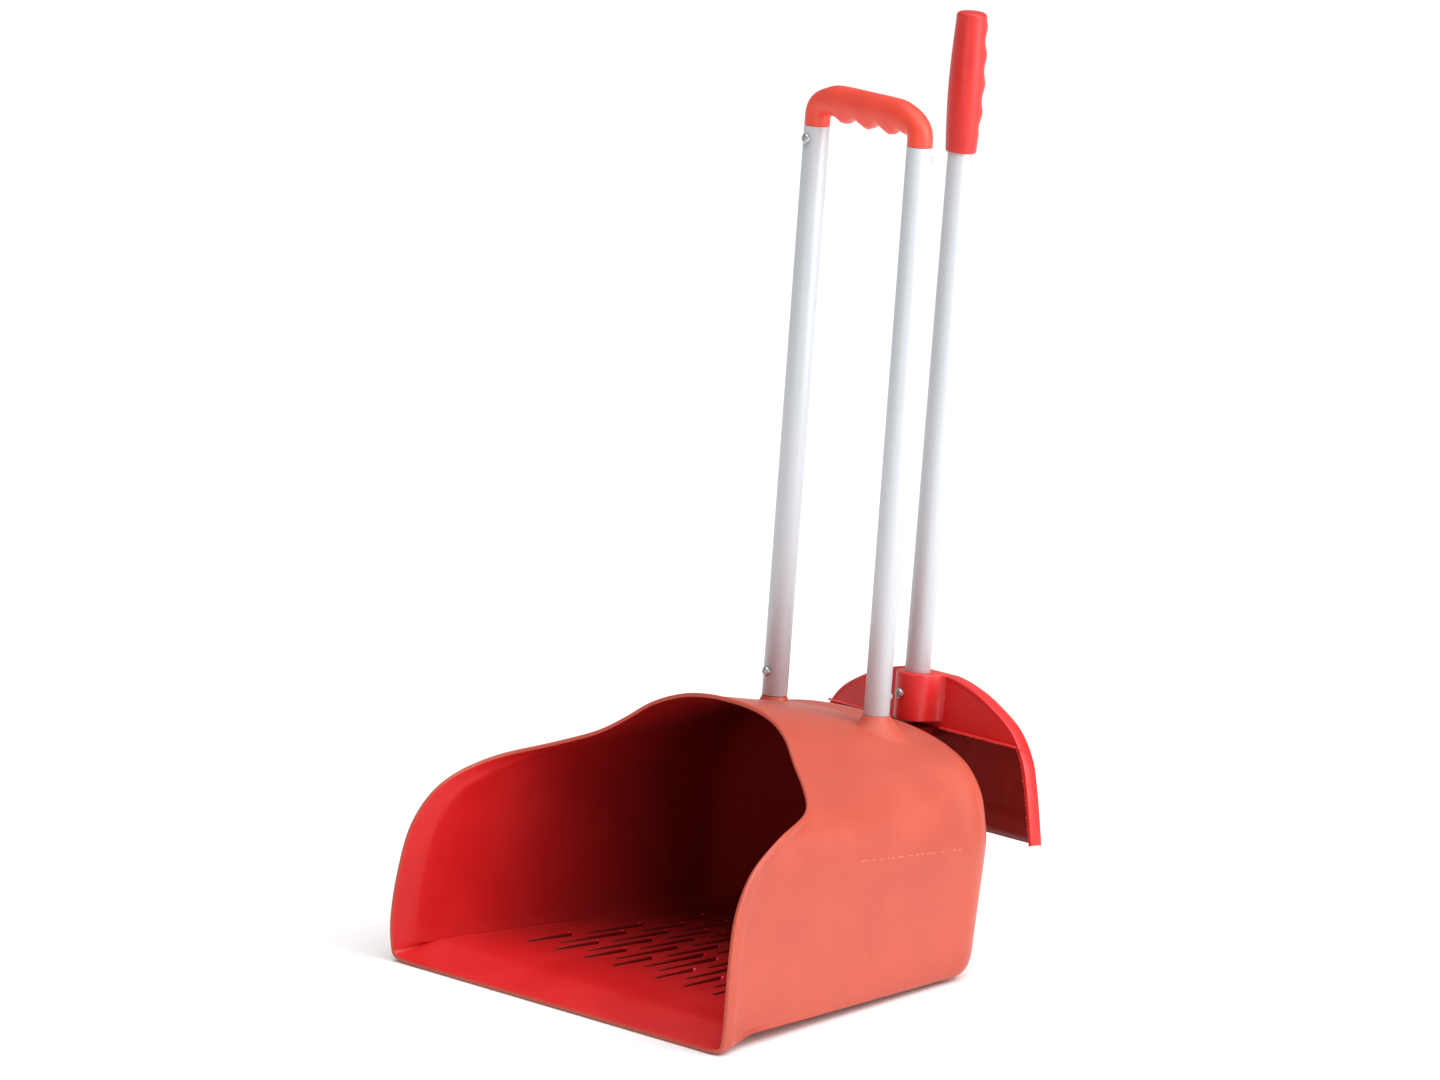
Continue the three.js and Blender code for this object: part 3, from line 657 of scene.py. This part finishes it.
def buildLoopGrip():
    half, rise, corner = tubes["spacing"] / 2, grip["rise"], grip["corner"]
    spots = [(-half, 0), (-half, 6), (-half + 0.6, 12), (-half + 4.5, rise - 2),
             (-half + corner - 4, rise + 0.8), (0, rise + 1.3), (half - corner, rise), (half - 7, rise - 3),
             (half - 1.5, 11), (half, 5), (half, 0)]
    path = [Vector((x, 0, z)) for x, z in [(-half, -5), *spots, (half, -5)]]
    base = leaning(0, tubes["footY"], tubes["footZ"], tubes["lean"]) @ Matrix.Translation(
        (0, 0, (tubes["exposed"] + fit) * mm))
    bm = bmesh.new()
    rows = []
    for i in range(grip["rings"] + 1):
        share = i / grip["rings"]
        centre = smoothCurve(path, share)
        along = (smoothCurve(path, share + 1e-3) - smoothCurve(path, share - 1e-3)).normalized()
        up = Vector((-along.z, 0, along.x))
        bar = easeStep(half - abs(centre.x), 3, 24)
        high = tubes["radius"] + (grip["barHeight"] / 2 - grip["bump"] / 2 - tubes["radius"]) * bar
        deep = tubes["radius"] + (grip["barDepth"] / 2 - tubes["radius"]) * bar
        ring = []
        for k in range(grip["around"]):
            angle = 2 * pi * k / grip["around"]
            below = max((0.4 - cos(angle)) / 1.4, 0) ** 0.8
            wave = cos(centre.x / grip["pitch"] * 2 * pi) * 0.5
            reach = high + grip["bump"] * bar * wave * below
            point = centre + up * cos(angle) * reach + Vector((0, sin(angle) * deep, 0))
            ring.append(base @ (point * mm))
        rows.append(ring)
    made = loftRows(bm, rows, closed=True)
    for _, edges in (made[0], made[-1]):
        bmesh.ops.contextual_create(bm, geom=edges)
    long, taper = tubes["spigot"], tubes["spigotTaper"]
    for side in (-1, 1):
        plug = bmesh.new()
        spinProfile(plug, [(0, -long), (spigotRadius - taper, -long), (spigotRadius, taper - long),
                           (spigotRadius, 1), (0, 1)],
                    base @ Matrix.Translation((side * half * mm, 0, 0)), segments=24)
        joinMesh(bm, plug)
    finishPiece(bm, "loop_grip", "scoop", loopPlastic, replaces=["d_grip"])


buildLoopGrip()
print("loop grip shaped")


pull = {
    "length": 110.5, "radius": 12, "swell": 1.9, "pitch": 22.5, "hollow": 1.5, "dome": 5,
    "firstHollow": 20, "rings": 96, "around": 40,
}


def buildPullGrip():
    base = scraperFrame @ Matrix.Translation((0, 0, tubes["scraperExposed"] * mm))
    bm = bmesh.new()
    rows = []
    for i in range(pull["rings"]):
        height = pull["length"] * (1 - (1 - i / pull["rings"]) ** 1.25)
        intoDome = max(height - pull["length"] + pull["dome"], 0) / pull["dome"]
        dome = max(1 - intoDome ** 3, 0) ** (1 / 3)
        swell = sin(pi * min(height / (pull["length"] - 8), 1))
        grooved = easeStep(height, 12, 22) * (1 - easeStep(height, pull["length"] - 10, pull["length"] - 2))
        wave = cos((height - pull["firstHollow"]) / pull["pitch"] * 2 * pi)
        foot = 0.5 * (1 - easeStep(height, 0, 1.2))
        ring = []
        for k in range(pull["around"]):
            angle = 2 * pi * k / pull["around"]
            hollow = pull["hollow"] * wave * max(sin(angle), 0) ** 2 * grooved  # only at the back
            radius = (pull["radius"] + pull["swell"] * swell - hollow - foot) * dome
            ring.append(base @ (Vector((cos(angle) * radius, sin(angle) * radius, height)) * mm))
        rows.append(ring)
    made = loftRows(bm, rows, closed=True)
    bmesh.ops.contextual_create(bm, geom=made[-1][1])
    bore = tubes["radius"] + fit
    turns = [2 * pi * k / pull["around"] for k in range(pull["around"])]
    inner = [[base @ (Vector((cos(angle) * bore, sin(angle) * bore, z)) * mm) for angle in turns]
             for z in (0, tubes["insideGrip"] / 2, tubes["insideGrip"] + fit)]
    core = loftRows(bm, inner, closed=True)
    bmesh.ops.bridge_loops(bm, edges=made[0][1] + core[0][1])
    bmesh.ops.contextual_create(bm, geom=core[-1][1])
    finishPiece(bm, "pull_grip", "scraper", pullPlastic, replaces=["scraper_grip"])


buildPullGrip()
print("pull grip shaped")


head = {
    "height": 115, "halfWidth": 131, "depth": 12, "setback": 11.4, "wall": 3, "panel": 42,
    "bossRadius": 16.5, "bossHeight": 37, "stepUp": 20, "step": 1.4, "grooves": (44, 88),
    "grooveDepth": 0.7, "grooveReach": 5, "bladeColumns": 60,
}
panelFront, headBack = head["setback"], head["setback"] + head["depth"]


def onHead(x, y, z):
    return scraperFrame @ (Vector((x, y, z)) * mm)


def headOutline(count, inset=0.0):  # the right half of the arch, from its top to its lower tip
    half = head["halfWidth"]
    points = [Vector((x, 0, z)) for x, z in (
        (-half * 0.18, -0.5), (half * 0.18, -0.5), (half * 0.40, -7), (half * 0.55, -15),
        (half * 0.75, -30.5), (half * 0.87, -51), (half * 0.92, -70), (half, -head["height"]),
        (half * 1.07, -160))]
    line = []
    for i in range(count + 1):
        share = i / count
        here = smoothCurve(points, share)
        ahead, behind = smoothCurve(points, min(share + 1e-3, 1)), smoothCurve(points, share - 1e-3)
        along = (ahead - behind).normalized()
        line.append(here + Vector((along.z, 0, -along.x)) * inset)
    return line


def headBox(bm, low, high, matrix=None):
    centre = [(a + b) / 2 for a, b in zip(low, high)]
    size = Matrix.Diagonal([(b - a) * mm for a, b in zip(low, high)] + [1])
    spot = Matrix.Translation(Vector(centre) * mm)
    bmesh.ops.create_cube(bm, size=1, matrix=(matrix or scraperFrame) @ spot @ size)


def mirrored(points):
    return [Vector((-p.x, 0, p.z)) for p in points[::-1]]


def pushOut(bm, ring, push):
    _, edges = addRow(bm, ring, closed=True)
    face = bmesh.ops.contextual_create(bm, geom=edges)["faces"]
    pushed = bmesh.ops.extrude_face_region(bm, geom=face)["geom"]
    way = (scraperFrame.to_3x3() @ Vector(push)) * mm
    bmesh.ops.translate(bm, vec=way, verts=[v for v in pushed if isinstance(v, bmesh.types.BMVert)])


def buildHeadWall():  # roof and side walls, one strip over the arch
    bm = bmesh.new()
    outer, inner = headOutline(30), headOutline(30, head["wall"])
    rings = []
    for a, b in zip(mirrored(outer) + outer, mirrored(inner) + inner):
        rings.append([onHead(a.x, panelFront, a.z), onHead(a.x, headBack, a.z),
                      onHead(b.x, headBack, b.z), onHead(b.x, panelFront, b.z)])
    made = loftRows(bm, rings, closed=True)
    for _, edges in (made[0], made[-1]):
        bmesh.ops.contextual_create(bm, geom=edges)
    finishPiece(bm, "head_wall", "scraper", scraperPlastic, bevel=0.8,
                replaces=["scraper_head"])


def buildHeadPanel():  # across the upper front, with a ridge along its lower edge
    bm = bmesh.new()
    bottom, wall = -head["panel"], head["wall"]
    side = [p for p in headOutline(40, 0.7) if p.z > bottom]
    side.append(Vector((side[-1].x + 1.2, 0, bottom)))
    pushOut(bm, [onHead(p.x, panelFront + 0.4, p.z) for p in mirrored(side) + side], (0, wall, 0))
    finishPiece(bm, "head_panel", "scraper", scraperPlastic, bevel=0.7)
    ridge = bmesh.new()
    near, far = head["bossRadius"] + 2, side[-1].x - 1.5
    for low, high in ((-far, -near), (near, far)):
        headBox(ridge, (low, panelFront - 0.9, bottom - 0.6), (high, panelFront + wall, bottom + 1.2))
    finishPiece(ridge, "panel_ridge", "scraper", ridgePlastic, bevel=0.5)


def buildHeadBoss():  # holds the tube, U-shaped from above, with a fillet to the panel
    bm = bmesh.new()
    radius, top, front = head["bossRadius"], 0.5, panelFront
    fillet = [(radius + 0.4, front - 5), (radius + 2.2, front - 1.5), (radius + 5, front + 1)]
    outside = [(-x, y) for x, y in fillet[::-1]]
    outside += [(radius * cos(pi + pi * k / 20), radius * sin(pi + pi * k / 20)) for k in range(21)]
    outside += fillet
    pushOut(bm, [onHead(x, y, top) for x, y in outside], (0, 0, -head["bossHeight"] - top))
    finishPiece(bm, "head_boss", "scraper", scraperPlastic, bevel=1.4)


def buildHeadBlade():  # a sheet with soft upright grooves and a ledge near its lower edge
    bm = bmesh.new()
    wall, count = head["wall"], head["bladeColumns"]
    limits = headOutline(60, wall - 0.6)
    ledge = -head["height"] + head["stepUp"]
    rows = []
    for z in (-4, -8, -14, -22, -32, -42, -52, -62, -72, -82, -90, ledge + 1.2, ledge - 1.2, -100, -108,
              -head["height"]):
        wide = max(p.x for p in limits if p.z >= z - 0.01) if z < -4 else 40
        row = []
        for k in range(count + 1):
            x = wide * (2 * k / count - 1)
            near = sum(max(1 - abs(abs(x) - at) / head["grooveReach"], 0) ** 2 for at in head["grooves"])
            shift = head["grooveDepth"] * near if z > ledge else 0
            row.append(onHead(x, headBack - wall + shift - (head["step"] if z < ledge else 0), z))
        rows.append(row)
    loftRows(bm, rows)
    bmesh.ops.recalc_face_normals(bm, faces=bm.faces)
    bm.faces.ensure_lookup_table()
    if bm.faces[0].normal.dot(scraperFrame.to_3x3() @ Vector((0, -1, 0))) < 0:
        bmesh.ops.reverse_faces(bm, faces=bm.faces)
    piece = finishPiece(bm, "head_blade", "scraper", bladeShadePlastic, outward=False)
    thick = piece.modifiers.new("thick", "SOLIDIFY")
    thick.thickness = (wall - 0.3) * mm
    thick.offset = -1
    piece.data.materials.append(scraperPlastic)  # the front carries the painted shade; the rear of the blade is as bright as the wall
    thick.material_offset = thick.material_offset_rim = 1


def buildFlash():  # ragged trimmed plastic under the panel and down the side walls
    rnd = random.Random(11)
    bm = bmesh.new()
    bottom = -head["panel"]
    spots = [(x, panelFront + 1.6, bottom - 0.2) for x in range(-112, 113, 2)]
    for p in headOutline(90, head["wall"]):
        if p.z < bottom - 1:
            spots += [(p.x, panelFront + 0.6, p.z), (-p.x, panelFront + 0.6, p.z)]
    for x, y, z in spots:
        size = [rnd.uniform(0.9, 2.8), rnd.uniform(0.8, 1.9), rnd.uniform(0.9, 2.8)]
        twist = Matrix.Rotation(rnd.uniform(-1, 1), 4, "Y") @ Matrix.Rotation(rnd.uniform(-0.6, 0.6), 4, "Z")
        centre = Vector((x + rnd.uniform(-0.6, 0.6), y, z + rnd.uniform(-0.6, 0.6)))
        spot = Matrix.Translation(centre * mm)
        bmesh.ops.create_icosphere(bm, subdivisions=1, radius=0.5 * mm,
                                   matrix=scraperFrame @ spot @ twist @ Matrix.Diagonal([*size, 1]))
    finishPiece(bm, "trim_flash", "scraper", ridgePlastic)


buildHeadWall()
buildHeadPanel()
buildHeadBoss()
buildHeadBlade()
buildFlash()
print("scraper head built")


hook = {"width": 24, "thickness": 3.6, "tongue": 26, "arm": 8}
heel = {"width": 150, "depth": 24, "height": 2.8}


def buildHook():
    bm = bmesh.new()
    middle = head["setback"] + head["depth"] / 2
    armTop = -head["panel"] - fit
    half, thin = hook["width"] / 2, hook["thickness"] / 2
    z = tubes["scraperFootZ"] + armTop
    rise = (z - poleHeight) / (hood - poleHeight)
    hoodBack = shell["bodyDepth"] + shell["backLean"] * z + shell["backDepth"] * (1 - rise ** 3) ** (1 / 3)
    start = hoodBack - tubes["scraperFootY"] - armTop * sin(radians(tubes["scraperLean"])) - 1
    headBox(bm, (-half, start, armTop - hook["arm"]), (half, middle + thin, armTop))
    headBox(bm, (-half, middle - thin, armTop - 1), (half, middle + thin, armTop + hook["tongue"]))
    # painted shade: the hook takes the dark inside plastic to stand in for the shadow under the boss
    finishPiece(bm, "hang_hook", "scoop", insidePlastic, bevel=0.8)


def buildHeel():
    bm = bmesh.new()
    half, rear = heel["width"] / 2, shell["bodyDepth"]
    headBox(bm, (-half, rear - heel["depth"], 0), (half, rear, heel["height"]),
            Matrix.Translation(place(0, 0, 0)))
    finishPiece(bm, "heel_pad", "scoop", shellPlastic, bevel=0.4)


buildHook()
buildHeel()
print("hook and heel added")


parting = {"from": 0.48, "to": 0.99, "height": 119, "fall": 13, "thickness": 0.5, "proud": 0.05}


def outsideAt(s, share):
    return outerStart(s).lerp(rearPoint(s, 0), share)


def buildPartingFlash():  # a thin broken line along each side, where the mould halves met
    rnd = random.Random(5)
    bm = bmesh.new()
    for side in (-1, 1):
        t = parting["from"]
        while t < parting["to"]:
            length = rnd.uniform(0.006, 0.03)
            gap = rnd.uniform(0.004, 0.03)
            chain = []
            for k in range(5):
                part = min(t + length * k / 4, 1)
                fallen = parting["fall"] * (part - parting["from"]) / (1 - parting["from"])
                wanted = parting["height"] - fallen + rnd.uniform(-0.3, 0.3)
                best = min((i / 400 for i in range(120, 280)),
                           key=lambda s: abs(outsideAt(s, part).z - wanted))
                p = outsideAt(best, part) + outward(rearCurve, best) * parting["proud"]
                chain.append(place(p.x * side, p.y, p.z))
            for a, b in zip(chain, chain[1:]):
                middle, along = (a + b) / 2, b - a
                if along.length < 1e-5:
                    continue
                turned = along.to_track_quat("Y", "Z").to_matrix().to_4x4()
                tall = rnd.uniform(0.4, 0.9) * mm
                size = Matrix.Diagonal((parting["thickness"] * mm, along.length, tall, 1))
                bmesh.ops.create_icosphere(bm, subdivisions=1, radius=0.55,
                                           matrix=Matrix.Translation(middle) @ turned @ size)
            t += length + gap
    finishPiece(bm, "parting_flash", "scoop", flashPlastic)


buildPartingFlash()
print("parting line added")
